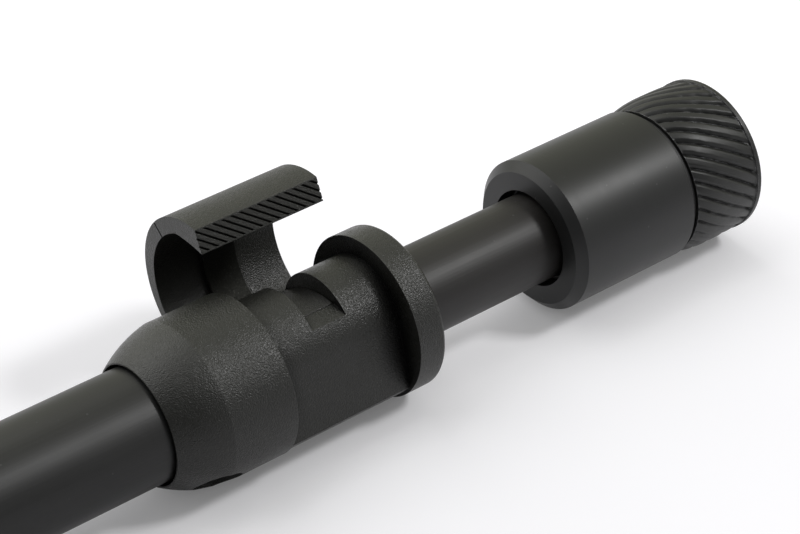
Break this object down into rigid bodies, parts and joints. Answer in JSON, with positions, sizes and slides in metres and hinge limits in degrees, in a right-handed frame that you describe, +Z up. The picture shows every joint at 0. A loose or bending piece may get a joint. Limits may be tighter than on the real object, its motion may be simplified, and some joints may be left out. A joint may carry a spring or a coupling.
{
  "type": "bank stick",
  "caption": "Telescopic bank stick: ground point, outer and inner tubes, collar with a cam lever shown open, and a threaded head with a knurled lock ring.",
  "frame": {"origin": "on the stick's axis, in the face of the ground point's shoulder, where the ground stops", "axes": "+X along the axis towards the threaded head, +Z up as the stick lies, -Y towards the flat front of the collar; the open lever stands out to +Y"},
  "size_m": [0.3346, 0.0408, 0.0346],
  "materials": {
    "outer_anodised": "matt black anodised",
    "inner_anodised": "satin black anodised",
    "head_anodised": "satin dark grey anodised, turned",
    "inner_alloy": "turned, plain",
    "collar_nylon": "glass filled nylon, fine moulded grain",
    "lever_nylon": "glass filled nylon, fine moulded grain",
    "grip_nylon": "glass filled nylon, ribbed face",
    "pad_nylon": "matt nylon",
    "bush_acetal": "natural acetal",
    "ring_black": "hard black anodised, slanted knurl",
    "seal_rubber": "nitrile rubber",
    "screw_black": "black oxide steel",
    "pin_steel": "ground stainless pin",
    "point_steel": "turned stainless steel",
    "insert_steel": "turned stainless steel, threaded"
  },
  "bodies": {
    "lower": {"outer_tube": "outer_anodised", "ground_point": "point_steel", "point_plug": "inner_alloy", "plug_seal": "seal_rubber", "upper_bush": "bush_acetal", "collar": "collar_nylon", "collar_screw": "screw_black", "wiper_ring": "seal_rubber", "hinge_pin": "pin_steel"},
    "lever": {"cam_lever": "lever_nylon", "lever_grip": "grip_nylon"},
    "pad": {"clamp_pad": "pad_nylon"},
    "slider": {"slide_ring": "bush_acetal"},
    "inner": {"inner_tube": "inner_anodised", "foot_plug": "inner_alloy", "foot_pin": "pin_steel", "stop_sleeve": "inner_alloy", "head_core": "head_anodised", "head_pin": "pin_steel", "tube_ring": "seal_rubber", "head_shell": "head_anodised", "thread_insert": "insert_steel"},
    "lock_carrier": {"friction_ring": "seal_rubber"},
    "lock": {"lock_ring": "ring_black", "ring_sleeve": "inner_alloy"}
  },
  "joints": [
    {"name": "lever_swing", "type": "hinge", "parent": "lower", "child": "lever", "pos_m": [0.183, 0.01116, -0.00492], "axis": [1, 0, 0], "range_deg": [0, 76.3]},
    {"name": "pad_press", "type": "slide", "parent": "lower", "child": "pad", "axis": [0, -0.6428, -0.766], "range_m": [0, 0.0002]},
    {"name": "tube_slide", "type": "slide", "parent": "lower", "child": "slider", "axis": [1, 0, 0], "range_m": [-0.029, 0.085]},
    {"name": "tube_turn", "type": "hinge", "parent": "slider", "child": "inner", "pos_m": [0.06, 0, 0], "axis": [1, 0, 0], "continuous": true},
    {"name": "lock_rise", "type": "slide", "parent": "inner", "child": "lock_carrier", "axis": [1, 0, 0], "range_m": [-0.00025, 0.001]},
    {"name": "lock_turn", "type": "hinge", "parent": "lock_carrier", "child": "lock", "pos_m": [0.268, 0, 0], "axis": [1, 0, 0], "range_deg": [-90, 360]}
  ],
  "couplings": [
    {"joint": "pad_press", "follows": "lever_swing", "m_per_rad": 0.00015},
    {"joint": "lock_rise", "follows": "lock_turn", "m_per_rad": 0.000159}
  ]
}
